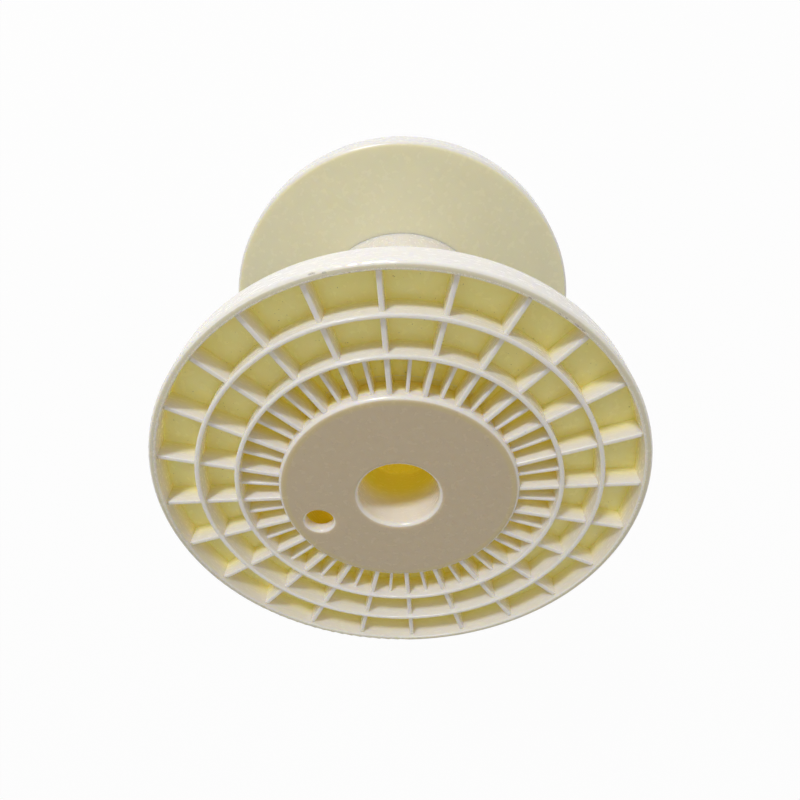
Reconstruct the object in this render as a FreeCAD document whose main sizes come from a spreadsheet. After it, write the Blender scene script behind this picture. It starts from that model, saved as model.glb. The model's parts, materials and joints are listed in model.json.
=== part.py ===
"""Ribbed plastic wire reel: two identical flange mouldings on a tubular barrel.

Lengths are millimetres. The reel stands on its end: its axis is Z, +Z up, and the
origin is the centre of the floor circle under the bottom flange.
"""
import FreeCAD, Part
import math
import os
import Sketcher

V = FreeCAD.Vector

# Driving dimensions. Radii are from the reel's axis, heights along it.
DIMENSIONS = {
    "reel_width": 260.0,
    "flange_radius": 150.0,
    "flange_depth": 21.0,
    "rim_inner_radius": 145.4,
    "outer_ring_radius": 121.7,
    "middle_ring_radius": 98.2,
    "ring_wall": 2.8,
    "hub_radius": 73.5,
    "pocket_depth": 16.5,
    "hub_wall": 7.0,
    "hub_disc_wall": 7.0,
    "collar_radius": 29.5,
    "collar_length": 49.0,
    "bore_radius": 25.0,
    "drive_hole_radius": 9.0,
    "drive_hole_offset": 55.0,
    "drive_hole_angle": 24.0,
    "rib_count": 24.0,
    "rib_phase": 4.1,
    "rib_wall": 2.9,
    "rib_setback": 2.6,
    "hub_rib_setback": 2.4,
    "fine_rib_wall": 2.1,
    "fine_rib_setback": 4.6,
    "rib_round": 0.8,
    "rim_front_round": 2.6,
    "rim_back_round": 3.4,
    "ring_round": 0.9,
    "hub_round": 3.2,
    "bore_round": 3.2,
    "drive_hole_round": 2.4,
    "spigot_length": 6.0,
    "spigot_gap": 0.2,
    "barrel_radius": 78.0,
    "barrel_wall": 4.5,
    "hub_web_wall": 4.5,
    "rib_bite": 0.8,
}
SHEET = "Dimensions"
MATCH = 1e-4  # how closely an edge must agree with the circle looked for
OVERRUN = 1.0  # how far a through hole is cut past the far face


def make_sheet(doc):
    """The spreadsheet that every size is bound to."""
    sheet = doc.addObject("Spreadsheet::Sheet", SHEET)
    for row, (name, value) in enumerate(DIMENSIONS.items(), start=1):
        sheet.set(f"A{row}", name)
        sheet.set(f"B{row}", str(value))
        sheet.setAlias(f"B{row}", name)
    doc.recompute()


def cell(name):
    """The expression that reads one named cell."""
    return f"{SHEET}.{name}"


def origin_part(body, role):
    """One of the body's own origin planes or axes."""
    for feature in body.Origin.OriginFeatures:
        if feature.Role == role:
            return feature
    raise ValueError(role)


def new_sketch(body, name, height=None, role="XY_Plane"):
    """A sketch on one of the body's own origin planes, raised by the expression height."""
    sketch = body.newObject("Sketcher::SketchObject", name)
    sketch.AttachmentSupport = [(origin_part(body, role), "")]
    sketch.MapMode = "FlatFace"
    if height:
        side = "z" if role == "XY_Plane" else "y"
        sketch.setExpression(f"AttachmentOffset.Base.{side}", height)
    return sketch


def bind(sketch, name, constraint, expression):
    """Adds a named constraint whose value follows an expression."""
    number = sketch.addConstraint(constraint)
    sketch.renameConstraint(number, name)
    sketch.setExpression(f"Constraints.{name}", expression)


def add_circle(sketch, name, radius):
    """A circle centred on the sketch's origin, its radius bound to an expression."""
    start = 10.0 + sketch.GeometryCount
    index = sketch.addGeometry(Part.Circle(V(0, 0, 0), V(0, 0, 1), start), False)
    sketch.addConstraint(Sketcher.Constraint("Coincident", index, 3, -1, 1))
    bind(sketch, name, Sketcher.Constraint("Radius", index, start), radius)


def draw_rib_section(sketch, wall, setback):
    """A rib cut across: straight sides on the web and two rounded front corners."""
    size = DIMENSIONS
    half = size[wall] / 2
    high = size["pocket_depth"] - size[setback]
    bend = size["rib_round"]
    right_bend = Part.Circle(V(half - bend, high - bend, 0), V(0, 0, 1), bend)
    left_bend = Part.Circle(V(bend - half, high - bend, 0), V(0, 0, 1), bend)
    outline = [
        Part.LineSegment(V(-half, 0, 0), V(half, 0, 0)),
        Part.LineSegment(V(half, 0, 0), V(half, high - bend, 0)),
        Part.ArcOfCircle(right_bend, 0, math.pi / 2),
        Part.LineSegment(V(half - bend, high, 0), V(bend - half, high, 0)),
        Part.ArcOfCircle(left_bend, math.pi / 2, math.pi),
        Part.LineSegment(V(-half, high - bend, 0), V(-half, 0, 0)),
    ]
    sketch.addGeometry(outline, False)
    foot, right, right_arc, front, left_arc, left = range(6)
    rules = [
        ("Coincident", foot, 2, right, 1),
        ("Tangent", right, 2, right_arc, 1),
        ("Tangent", right_arc, 2, front, 1),
        ("Tangent", front, 2, left_arc, 1),
        ("Tangent", left_arc, 2, left, 1),
        ("Coincident", left, 2, foot, 1),
        ("PointOnObject", foot, 1, -1),
        ("Symmetric", foot, 1, foot, 2, -2),
        ("Vertical", right),
        ("Vertical", left),
        ("Equal", right_arc, left_arc),
    ]
    for rule in rules:
        sketch.addConstraint(Sketcher.Constraint(*rule))
    bind(sketch, "wall", Sketcher.Constraint("DistanceX", foot, 1, foot, 2, 2 * half), cell(wall))
    bind(sketch, "bend", Sketcher.Constraint("Radius", right_arc, bend), cell("rib_round"))
    height = f"{cell('pocket_depth')} - {cell(setback)}"
    bind(sketch, "height", Sketcher.Constraint("DistanceY", foot, 1, front, 1, high), height)


def volume(body):
    """The body's volume, or nothing before its first feature."""
    return 0.0 if body.Shape.isNull() else body.Shape.Volume


def add_feature(body, kind, name, sketch, length, backwards=False):
    """A pad, or a pocket, checked to add or to remove material."""
    before = volume(body)
    feature = body.newObject(f"PartDesign::{kind}", name)
    feature.Profile = sketch
    feature.setExpression("Length", length)
    feature.Reversed = backwards
    body.Document.recompute()
    change = volume(body) - before
    if change == 0 or (change > 0) != (kind == "Pad"):
        raise RuntimeError(f"{name} changes {body.Label} by {change}")
    return feature


def round_edges(body, name, circles, radius):
    """Fillet the full circles at the given (radius, height, centre distance) places."""
    base = body.Tip
    found = []
    for number, edge in enumerate(base.Shape.Edges, start=1):
        curve = edge.Curve
        if not isinstance(curve, Part.Circle):
            continue
        off_axis = math.hypot(curve.Center.x, curve.Center.y)
        for size, height, distance in circles:
            wrong = (abs(curve.Radius - size), abs(curve.Center.z - height), abs(off_axis - distance))
            if max(wrong) < MATCH:
                found.append(f"Edge{number}")
    if len(found) != len(circles):
        raise RuntimeError(f"{name}: {len(found)} edges for {len(circles)} circles")
    fillet = body.newObject("PartDesign::Fillet", name)
    fillet.Base = (base, found)
    fillet.setExpression("Radius", cell(radius))
    body.Document.recompute()


def add_disc(body):
    """The solid disc that the recesses are cut into, with its hub hollow behind."""
    outline = new_sketch(body, "disc_outline")
    add_circle(outline, "disc", cell("flange_radius"))
    add_feature(body, "Pad", "disc", outline, cell("flange_depth"))

    half = f"{cell('ring_wall')} / 2"
    recess = new_sketch(body, "recess_outline", cell("flange_depth"))
    add_circle(recess, "rim_inside", cell("rim_inner_radius"))
    for ring in ("outer_ring", "middle_ring"):
        add_circle(recess, f"{ring}_outside", f"{cell(ring + '_radius')} + {half}")
        add_circle(recess, f"{ring}_inside", f"{cell(ring + '_radius')} - {half}")
    add_circle(recess, "hub_outside", cell("hub_radius"))
    add_feature(body, "Pocket", "recesses", recess, cell("pocket_depth"))

    hollow = new_sketch(body, "hollow_outline")
    add_circle(hollow, "hub_inside", f"{cell('hub_radius')} - {cell('hub_wall')}")
    depth = f"{cell('flange_depth')} - {cell('hub_disc_wall')}"
    add_feature(body, "Pocket", "hub_hollow", hollow, depth, backwards=True)


def add_collar_and_spigot(body):
    """The tube that carries the spindle, and the ring that centres the barrel."""
    collar = new_sketch(body, "collar_outline", f"{cell('flange_depth')} - {cell('hub_disc_wall')}")
    add_circle(collar, "collar_outside", cell("collar_radius"))
    inward = f"{cell('collar_length')} - {cell('hub_disc_wall')}"
    add_feature(body, "Pad", "collar", collar, inward, backwards=True)

    spigot = new_sketch(body, "spigot_outline", cell("hub_web_wall"))
    seat = f"{cell('barrel_radius')} - {cell('barrel_wall')} - {cell('spigot_gap')}"
    add_circle(spigot, "spigot_outside", seat)
    add_circle(spigot, "spigot_inside", f"{cell('hub_radius')} - {cell('hub_wall')}")
    length = f"{cell('hub_web_wall')} + {cell('spigot_length')}"
    add_feature(body, "Pad", "spigot", spigot, length, backwards=True)


def add_holes(body):
    """The spindle bore, and one drive hole through the hub disc beside it."""
    bore = new_sketch(body, "bore_outline", cell("flange_depth"))
    add_circle(bore, "bore", cell("bore_radius"))
    add_feature(body, "Pocket", "bore", bore, f"{cell('collar_length')} + {OVERRUN}")

    hole = new_sketch(body, "drive_hole_outline", cell("flange_depth"))
    for side, share in (("x", "cos"), ("y", "sin")):
        place_of = f"{cell('drive_hole_offset')} * {share}({cell('drive_hole_angle')})"
        hole.setExpression(f"AttachmentOffset.Base.{side}", place_of)
    add_circle(hole, "drive_hole", cell("drive_hole_radius"))
    add_feature(body, "Pocket", "drive_hole", hole, f"{cell('hub_disc_wall')} + {OVERRUN}")


def add_rounds(body):
    """Moulded roundings on the outer face, before the ribs meet the ring walls."""
    size = DIMENSIONS
    face = size["flange_depth"]
    half = size["ring_wall"] / 2
    hole = (size["drive_hole_radius"], face, size["drive_hole_offset"])
    rings = [(size["rim_inner_radius"], face, 0)]
    for ring in ("outer_ring_radius", "middle_ring_radius"):
        rings += [(size[ring] + half, face, 0), (size[ring] - half, face, 0)]
    round_edges(body, "rim_front", [(size["flange_radius"], face, 0)], "rim_front_round")
    round_edges(body, "rim_back", [(size["flange_radius"], 0, 0)], "rim_back_round")
    round_edges(body, "hub_edge", [(size["hub_radius"], face, 0)], "hub_round")
    round_edges(body, "bore_lip", [(size["bore_radius"], face, 0)], "bore_round")
    round_edges(body, "drive_hole_lip", [hole], "drive_hole_round")
    round_edges(body, "ring_tops", rings, "ring_round")


def add_rib(body, name, start, end, wall, setback, angle):
    """One rib on the web, from radius start to radius end, turned to its angle."""
    floor = f"{cell('flange_depth')} - {cell('pocket_depth')}"
    sketch = new_sketch(body, f"{name}_section", floor, role="YZ_Plane")
    # The sketch turns about its own upright; the expressions then set how far.
    upright = FreeCAD.Rotation(V(0, 1, 0), DIMENSIONS["rib_phase"])
    sketch.AttachmentOffset = FreeCAD.Placement(V(0, 0, 0), upright)
    sketch.setExpression("AttachmentOffset.Rotation.Angle", angle)
    sketch.setExpression("AttachmentOffset.Base.x", f"({start}) * sin({angle})")
    sketch.setExpression("AttachmentOffset.Base.z", f"({start}) * cos({angle})")
    draw_rib_section(sketch, wall, setback)
    return add_feature(body, "Pad", name, sketch, f"({end}) - ({start})")


def add_ribs(body):
    """The three kinds of rib, repeated round the axis together."""
    bite = cell("rib_bite")
    hub_end = f"{cell('hub_radius')} - {bite}"
    middle = cell("middle_ring_radius")
    rim_end = f"{cell('rim_inner_radius')} + {bite}"
    phase = cell("rib_phase")
    between = f"{phase} + 180 / {cell('rib_count')}"
    ribs = [
        add_rib(body, "long_rib", middle, rim_end, "rib_wall", "rib_setback", phase),
        add_rib(body, "hub_rib", hub_end, middle, "rib_wall", "hub_rib_setback", phase),
        add_rib(body, "fine_rib", hub_end, middle, "fine_rib_wall", "fine_rib_setback", between),
    ]
    pattern = body.newObject("PartDesign::PolarPattern", "rib_pattern")
    pattern.Originals = ribs
    pattern.Axis = (origin_part(body, "Z_Axis"), [""])
    pattern.Angle = 360
    pattern.setExpression("Occurrences", cell("rib_count"))
    body.Tip = pattern
    body.Document.recompute()


def make_flange(doc, label):
    """One flange moulding, its outer face up and its winding side at height 0."""
    body = doc.addObject("PartDesign::Body", label)
    body.Label = label
    add_disc(body)
    add_collar_and_spigot(body)
    add_holes(body)
    add_rounds(body)
    add_ribs(body)
    return body


def make_barrel(doc, label):
    """The tube that the wire is wound on, standing between the two webs."""
    outer = doc.addObject("Part::Cylinder", "barrel_outside")
    inner = doc.addObject("Part::Cylinder", "barrel_inside")
    length = f"{cell('reel_width')} - 2 * {cell('flange_depth')}"
    outer.setExpression("Radius", cell("barrel_radius"))
    inner.setExpression("Radius", f"{cell('barrel_radius')} - {cell('barrel_wall')}")
    for cylinder in (outer, inner):
        cylinder.setExpression("Height", length)
    tube = doc.addObject("Part::Cut", label)
    tube.Label = label
    tube.Base = outer
    tube.Tool = inner
    doc.recompute()
    return tube


def place(parts):
    """Stand the reel on its bottom flange, which is the top one turned over.

    It turns about the drive hole's own radius, so that both drive holes are in line.
    """
    depth = DIMENSIONS["flange_depth"]
    parts["top_flange"].Placement.Base.z = DIMENSIONS["reel_width"] - depth
    parts["barrel"].Placement.Base.z = depth
    hole = math.radians(DIMENSIONS["drive_hole_angle"])
    turn = FreeCAD.Rotation(V(math.cos(hole), math.sin(hole), 0), 180)
    parts["bottom_flange"].Placement = FreeCAD.Placement(V(0, 0, depth), turn)


def check(doc, parts):
    """Every object has recomputed, and every piece is one sound solid."""
    for item in doc.Objects:
        if "Invalid" in item.State or "Error" in item.State:
            raise RuntimeError(f"{item.Label}: {item.State}")
    for name, piece in parts.items():
        shape = piece.Shape
        if shape.isNull() or not shape.isValid() or len(shape.Solids) != 1:
            raise RuntimeError(f"{name} is not one sound solid")
        box = shape.BoundBox
        print(f"{name}: {shape.Volume / 1000:.1f} cm3, Z {box.ZMin:.2f} to {box.ZMax:.2f}")


def main():
    """Build the three pieces, check them and write one STEP file each."""
    doc = FreeCAD.newDocument("reel")
    make_sheet(doc)
    parts = {
        "top_flange": make_flange(doc, "top_flange"),
        "bottom_flange": make_flange(doc, "bottom_flange"),
        "barrel": make_barrel(doc, "barrel"),
    }
    place(parts)
    doc.recompute()
    check(doc, parts)
    os.makedirs("parts", exist_ok=True)
    for name, piece in parts.items():
        piece.Shape.exportStep(f"parts/{name}.step")


main()
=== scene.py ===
"""Looks of the plastic wire reel: cream moulded plastic, a pale floor and soft studio light."""
import json
import math

import bpy
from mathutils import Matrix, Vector


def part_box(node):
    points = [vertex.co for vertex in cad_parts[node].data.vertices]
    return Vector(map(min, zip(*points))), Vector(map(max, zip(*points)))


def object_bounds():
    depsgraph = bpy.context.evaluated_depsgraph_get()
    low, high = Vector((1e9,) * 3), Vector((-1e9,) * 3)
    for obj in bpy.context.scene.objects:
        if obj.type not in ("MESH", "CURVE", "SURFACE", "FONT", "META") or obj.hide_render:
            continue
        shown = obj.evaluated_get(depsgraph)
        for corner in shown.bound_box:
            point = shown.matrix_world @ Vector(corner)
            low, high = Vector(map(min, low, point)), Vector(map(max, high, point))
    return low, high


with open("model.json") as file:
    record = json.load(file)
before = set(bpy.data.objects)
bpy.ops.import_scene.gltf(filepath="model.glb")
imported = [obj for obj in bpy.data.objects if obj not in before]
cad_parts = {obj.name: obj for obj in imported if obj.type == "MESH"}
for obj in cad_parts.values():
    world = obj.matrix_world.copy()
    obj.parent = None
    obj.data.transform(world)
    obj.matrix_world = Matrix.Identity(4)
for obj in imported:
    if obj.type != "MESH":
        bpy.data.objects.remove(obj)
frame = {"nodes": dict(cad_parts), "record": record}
cad_low, cad_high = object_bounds()
NODES = ("top_flange", "bottom_flange", "barrel")

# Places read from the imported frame, in metres.
barrel_low, barrel_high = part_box("barrel")
WIDTH = cad_high[2]
FLANGE_RADIUS = cad_high[0]
FLANGE_DEPTH = barrel_low[2]
BARREL_RADIUS = barrel_high[0]
MOUNTS = {mount["name"]: mount for mount in frame["record"]["mounts"]}
BORE_RADIUS = MOUNTS["spindle_bore"]["dims"]["r_mm"] / 1000
HUB_RADIUS = 0.0735
RIM_INSIDE = 0.1454
MIDDLE = (0.0, 0.0, WIDTH / 2)
FLOOR_SIZE = 40.0

# Plastic colours; some are painted shade, painted bounce light or a painted highlight, as
# marked. Where there are two, a soft noise wanders between them.
BODY = ((0.85, 0.815, 0.765, 1), (0.865, 0.83, 0.78, 1))
# Painted shade: the rims' front faces, which the low key light barely reaches, darker than the
# body.
RIM_FACE_SHADE = ((0.67, 0.64, 0.52, 1), (0.68, 0.65, 0.53, 1))
# Painted shade: the hubs' front faces, darker and browner than the body where less light falls.
HUB_FACE_SHADE = ((0.625, 0.525, 0.365, 1), (0.640, 0.540, 0.380, 1))
HUB_EDGE = (0.66, 0.57, 0.28, 1)
WINDING_FACE = ((0.870, 0.815, 0.585, 1), (0.885, 0.830, 0.600, 1))
# Painted bounce light: the pockets brighter and yellower than the body, standing in for light
# bounced about in them and glowing through the plastic.
OUTER_RECESS_BOUNCE = ((0.99, 0.88, 0.44, 1), (1.0, 0.90, 0.48, 1))
INNER_RECESS_BOUNCE = ((1.0, 0.86, 0.28, 1), (1.0, 0.89, 0.34, 1))
# Painted shade: a golden tone inside the bore and the hollow hubs.
CAVITY_SHADE = (0.96, 0.86, 0.15, 1)
# Moulding flash with a painted highlight: a thin line on each rim's inner edge, brighter than
# the body.
FLASH_HIGHLIGHT = (0.97, 0.93, 0.88, 1)
DIRT = (0.16, 0.13, 0.11, 1)

# Scuffs on the top rim: degrees from -Y towards +X, half length in degrees, radius.
SCUFFS = (
    (16.2, 0.50, 0.1490),
    (13.9, 0.25, 0.1483),
    (9.3, 0.10, 0.1459),
    (-25.3, 0.22, 0.1459),
    (-32.2, 0.12, 0.1461),
    (-33.8, 0.15, 0.1462),
    (-37.4, 1.30, 0.1464),
)

# The camera looks down on the top flange and is held upside down, so that the
# bottom flange shows above the top one.
CAMERA_ABOVE_FACE = 0.2704
CAMERA_BEFORE_AXIS = 0.2590
CAMERA_ASIDE = -0.0019
CAMERA_TURN = math.radians(0.93)
CAMERA_TILT = math.radians(36.93)
CAMERA_LENS = 27.43
CAMERA_SHIFT = (0.0066, 0.0298)


def make_camera():
    """The main view, looking down on the top flange from the front."""
    data = bpy.data.cameras.new("camera")
    data.lens = CAMERA_LENS
    data.sensor_width = 36.0
    data.shift_x, data.shift_y = CAMERA_SHIFT
    data.clip_start = 0.01
    camera = bpy.data.objects.new("camera", data)
    camera.location = (CAMERA_ASIDE, -CAMERA_BEFORE_AXIS, WIDTH + CAMERA_ABOVE_FACE)
    camera.rotation_euler = (-CAMERA_TILT, CAMERA_TURN, math.pi)
    bpy.context.scene.collection.objects.link(camera)
    bpy.context.scene.camera = camera


def area_light(name, place, target, size, power, colour):
    """A square softbox at place that faces target."""
    data = bpy.data.lights.new(name, "AREA")
    data.shape = "SQUARE"
    data.size = size
    data.energy = power
    data.color = colour
    light = bpy.data.objects.new(name, data)
    light.location = place
    aim = Vector(target) - Vector(place)
    light.rotation_euler = aim.to_track_quat("-Z", "Y").to_euler()
    bpy.context.scene.collection.objects.link(light)


def make_lights():
    """One key softbox low in front, a glow in the hollow barrel, and a pale room."""
    area_light("key", (0.62, -1.96, 0.98), MIDDLE, 0.26, 24.0, (0.97, 0.98, 1.0))
    glow = bpy.data.lights.new("barrel_glow", "POINT")
    glow.energy = 0.027
    glow.color = (1.0, 0.95, 0.35)
    glow.shadow_soft_size = 0.03
    lamp = bpy.data.objects.new("barrel_glow", glow)
    lamp.location = MIDDLE
    bpy.context.scene.collection.objects.link(lamp)

    world = bpy.data.worlds.new("room")
    bpy.context.scene.world = world
    world.use_nodes = True
    background = world.node_tree.nodes["Background"]
    background.inputs["Color"].default_value = (1.0, 0.98, 0.95, 1.0)
    background.inputs["Strength"].default_value = 0.43


class Graph:
    """A material's nodes, made and linked in short calls."""

    def __init__(self, name):
        self.material = bpy.data.materials.new(name)
        self.material.use_nodes = True
        self.tree = self.material.node_tree
        self.tree.nodes.clear()
        self.output = self.add("OutputMaterial")

    def add(self, kind, **settings):
        """A new shader node of one kind."""
        node = self.tree.nodes.new("ShaderNode" + kind)
        for name, value in settings.items():
            setattr(node, name, value)
        return node

    def put(self, value, socket):
        """Sets a socket to a number or colour, or links an output to it."""
        if isinstance(value, bpy.types.NodeSocket):
            self.tree.links.new(value, socket)
        else:
            socket.default_value = value

    def math(self, operation, first, second=0.0):
        """The result of one sum on numbers or outputs."""
        node = self.add("Math", operation=operation)
        self.put(first, node.inputs[0])
        self.put(second, node.inputs[1])
        return node.outputs[0]

    def ramp(self, value, low, high, to_low=0.0, to_high=1.0):
        """A smooth step of value from low to high."""
        node = self.add("MapRange", interpolation_type="SMOOTHSTEP")
        for socket, number in zip(node.inputs, (value, low, high, to_low, to_high)):
            self.put(number, socket)
        return node.outputs[0]

    def mix(self, amount, first, second):
        """A colour between first and second."""
        node = self.add("Mix", data_type="RGBA")
        self.put(amount, node.inputs[0])
        self.put(first, node.inputs[6])
        self.put(second, node.inputs[7])
        return node.outputs[2]

    def noise(self, scale, detail=2.0, rough=0.5):
        """Soft random values; a larger scale gives finer ones."""
        node = self.add("TexNoise")
        node.inputs["Scale"].default_value = scale
        node.inputs["Detail"].default_value = detail
        node.inputs["Roughness"].default_value = rough
        return node.outputs[0]


def both(g, *masks):
    """The product of several masks."""
    result = masks[0]
    for mask in masks[1:]:
        result = g.math("MULTIPLY", result, mask)
    return result


def band(g, value, centre, half, soft):
    """1 where value is within half of centre, fading to 0 over soft."""
    off = g.math("ABSOLUTE", g.math("SUBTRACT", value, centre))
    return g.ramp(off, half + soft, half)


def zones(g):
    """Where on the reel a point is, from its position and normal alone."""
    geometry = g.add("NewGeometry")
    split = g.add("SeparateXYZ")
    g.put(geometry.outputs["Position"], split.inputs[0])
    x, y, z = split.outputs
    facing = g.add("SeparateXYZ")
    g.put(geometry.outputs["Normal"], facing.inputs[0])
    flat = g.ramp(g.math("ABSOLUTE", facing.outputs[2]), 0.80, 0.97)

    radius = g.math("SQRT", g.math("ADD", g.math("MULTIPLY", x, x), g.math("MULTIPLY", y, y)))
    half = WIDTH / 2
    depth = g.math("SUBTRACT", half, g.math("ABSOLUTE", g.math("SUBTRACT", z, half)))
    turn = g.math("ARCTAN2", x, g.math("MULTIPLY", y, -1.0))
    angle = g.math("MULTIPLY", turn, 180 / math.pi)

    in_rim = g.ramp(radius, FLANGE_RADIUS - 0.0030, FLANGE_RADIUS - 0.0050)
    in_hub = g.ramp(radius, HUB_RADIUS + 0.0005, HUB_RADIUS - 0.0005)
    in_tube = g.ramp(radius, BARREL_RADIUS - 0.0005, BARREL_RADIUS - 0.0015)
    in_bore = g.ramp(radius, BORE_RADIUS + 0.0035, BORE_RADIUS + 0.0015)
    outward = g.ramp(depth, FLANGE_DEPTH - 0.0010, FLANGE_DEPTH - 0.0020)
    around_tube = g.math("SUBTRACT", 1.0, in_tube)
    web = both(g, flat, g.ramp(depth, 0.013, 0.015))
    wall = g.ramp(depth, 0.005, 0.0165)

    hollow = both(g, in_hub, g.ramp(depth, 0.0068, 0.0085), g.math("SUBTRACT", 1.0, in_bore))
    throat = both(g, in_bore, g.ramp(depth, 0.012, 0.036))
    enclosed = g.math("MAXIMUM", both(g, outward, around_tube), in_tube)
    surface = g.math("MAXIMUM", web, wall)
    outside_bore = g.math("SUBTRACT", 1.0, in_bore)
    # The rim-face, hub-face and hollow masks place painted shade; the pocket mask places painted
    # bounce light.
    return {
        "radius": radius,
        "depth": depth,
        "angle": angle,
        "upper": g.ramp(z, half - 0.001, half + 0.001),
        "recess": both(g, in_rim, enclosed, surface, outside_bore),
        "near_hub": g.ramp(radius, 0.0985, 0.0965),
        "hub_face_shade": both(g, in_hub, flat, g.ramp(depth, 0.0030, 0.0015)),
        "rim_face_shade": both(g, g.ramp(radius, 0.1440, 0.1450), g.ramp(depth, 0.0060, 0.0020), flat),
        "winding": both(g, flat, g.math("SUBTRACT", 1.0, outward), around_tube),
        "cavity_shade": g.math("MAXIMUM", hollow, throat),
    }


def rim_marks(g, zone):
    """Dark scuffs on the top rim's face."""
    breaks = g.ramp(g.noise(900.0, 2.0), 0.38, 0.58)
    marks = None
    for angle, half_angle, radius in SCUFFS:
        along = band(g, zone["angle"], angle, half_angle, 0.3)
        across = band(g, zone["radius"], radius, 0.00018, 0.00035)
        mark = both(g, along, across)
        marks = mark if marks is None else g.math("MAXIMUM", marks, mark)
    front = g.ramp(zone["depth"], 0.0022, 0.0012)
    return both(g, marks, breaks, front, zone["upper"])


def plastic_colour_and_shade(g, zone):
    """The cream body and its tones on the winding faces, with painted shade on the rim and hub
    faces and in the hollows, and painted bounce light in the pockets.
    """
    cloud = g.ramp(g.noise(16.0, 3.0), 0.35, 0.65)
    fine = g.ramp(g.noise(55.0, 4.0, 0.6), 0.35, 0.65)
    colour = g.mix(cloud, *BODY)
    # Painted shade on the rims' front faces.
    colour = g.mix(zone["rim_face_shade"], colour, g.mix(fine, *RIM_FACE_SHADE))
    edge = band(g, zone["radius"], HUB_RADIUS - 0.0038, 0.0006, 0.0016)
    # Painted shade on the hubs' front faces, with a yellower ring near their edge.
    hub = g.mix(g.math("MULTIPLY", edge, 0.45), g.mix(fine, *HUB_FACE_SHADE), HUB_EDGE)
    colour = g.mix(zone["hub_face_shade"], colour, hub)
    colour = g.mix(zone["winding"], colour, g.mix(cloud, *WINDING_FACE))
    # Painted bounce light in the pockets, more golden near the hub.
    outer_bounce = g.mix(fine, *OUTER_RECESS_BOUNCE)
    inner_bounce = g.mix(fine, *INNER_RECESS_BOUNCE)
    colour = g.mix(zone["recess"], colour, g.mix(zone["near_hub"], outer_bounce, inner_bounce))
    # Painted shade: golden tone in the bore and the hollow hubs.
    return g.mix(zone["cavity_shade"], colour, CAVITY_SHADE)


def flash_line_highlight(g, zone):
    """A thin ragged line of moulding flash on each rim's inner edge, lighter than the body as a
    painted highlight.
    """
    ragged = g.ramp(g.noise(420.0, 2.0), 0.40, 0.60)
    line = band(g, zone["radius"], RIM_INSIDE + 0.0008, 0.0003, 0.0004)
    front = g.ramp(zone["depth"], 0.0012, 0.0004)
    return g.math("MULTIPLY", both(g, line, ragged, front), 0.7)


def dirt_mask(g, zone):
    """The rim's scuffs, and fine dark specks on the top flange."""
    specks = both(g, g.ramp(g.noise(260.0, 0.0), 0.845, 0.860), zone["upper"])
    scuffs = g.math("MULTIPLY", rim_marks(g, zone), 0.85)
    return g.math("MAXIMUM", scuffs, g.math("MULTIPLY", specks, 0.5))


def surface_bump(g):
    """Moulded skin: a fine peel over a slow ripple."""
    peel = g.math("MULTIPLY", g.noise(520.0, 2.0), 0.25)
    bump = g.add("Bump")
    bump.inputs["Strength"].default_value = 0.02
    bump.inputs["Distance"].default_value = 0.0006
    g.put(g.math("ADD", peel, g.noise(38.0, 1.0)), bump.inputs["Height"])
    return bump.outputs[0]


def plastic():
    """Cream moulded plastic that light sinks into, with painted shade and bounce light making it
    yellower where it is closed in.
    """
    g = Graph("cream_plastic")
    zone = zones(g)
    dirt = dirt_mask(g, zone)
    # A painted highlight along the flash line, over the plastic's colour and painted shade.
    colour = g.mix(flash_line_highlight(g, zone), plastic_colour_and_shade(g, zone), FLASH_HIGHLIGHT)
    polish = g.ramp(g.noise(60.0, 3.0), 0.3, 0.7, 0.24, 0.28)

    shader = g.add("BsdfPrincipled", subsurface_method="RANDOM_WALK")
    g.put(g.mix(dirt, colour, DIRT), shader.inputs["Base Color"])
    g.put(g.math("ADD", polish, g.math("MULTIPLY", dirt, 0.3)), shader.inputs["Roughness"])
    shader.inputs["IOR"].default_value = 1.52
    shader.inputs["Subsurface Weight"].default_value = 0.8
    shader.inputs["Subsurface Radius"].default_value = (1.0, 0.85, 0.45)
    shader.inputs["Subsurface Scale"].default_value = 0.007
    g.put(surface_bump(g), shader.inputs["Normal"])
    g.put(shader.outputs[0], g.output.inputs["Surface"])
    return g.material


def pale_floor():
    """A white floor that shows as the plain backdrop and keeps the reel's shadow."""
    g = Graph("pale_floor")
    diffuse = g.add("BsdfDiffuse")
    diffuse.inputs["Color"].default_value = (0.90, 0.90, 0.90, 1)
    glow = g.add("Emission")
    glow.inputs["Color"].default_value = (1, 1, 1, 1)
    glow.inputs["Strength"].default_value = 1.0
    path = g.add("LightPath")
    seen = g.math("MAXIMUM", path.outputs["Is Camera Ray"], path.outputs["Is Glossy Ray"])
    mixed = g.add("MixShader")
    g.put(g.math("MULTIPLY", seen, 0.96), mixed.inputs[0])
    g.put(diffuse.outputs[0], mixed.inputs[1])
    g.put(glow.outputs[0], mixed.inputs[2])
    g.put(mixed.outputs[0], g.output.inputs["Surface"])
    return g.material


def make_floor():
    """A large plain floor under the bottom flange."""
    bpy.ops.mesh.primitive_plane_add(size=FLOOR_SIZE, location=(0, 0, cad_low[2]))
    floor = bpy.context.object
    floor.name = "floor"
    floor.data.materials.append(pale_floor())


def dress_nodes():
    """Every CAD piece gets the moulded plastic."""
    material = plastic()
    for name in NODES:
        piece = frame["nodes"][name]
        piece.data.materials.clear()
        piece.data.materials.append(material)


make_camera()
make_lights()
make_floor()
dress_nodes()
bpy.context.scene.view_settings.view_transform = "Standard"
bpy.context.scene.cycles.max_bounces = 16
bpy.context.scene.cycles.diffuse_bounces = 12
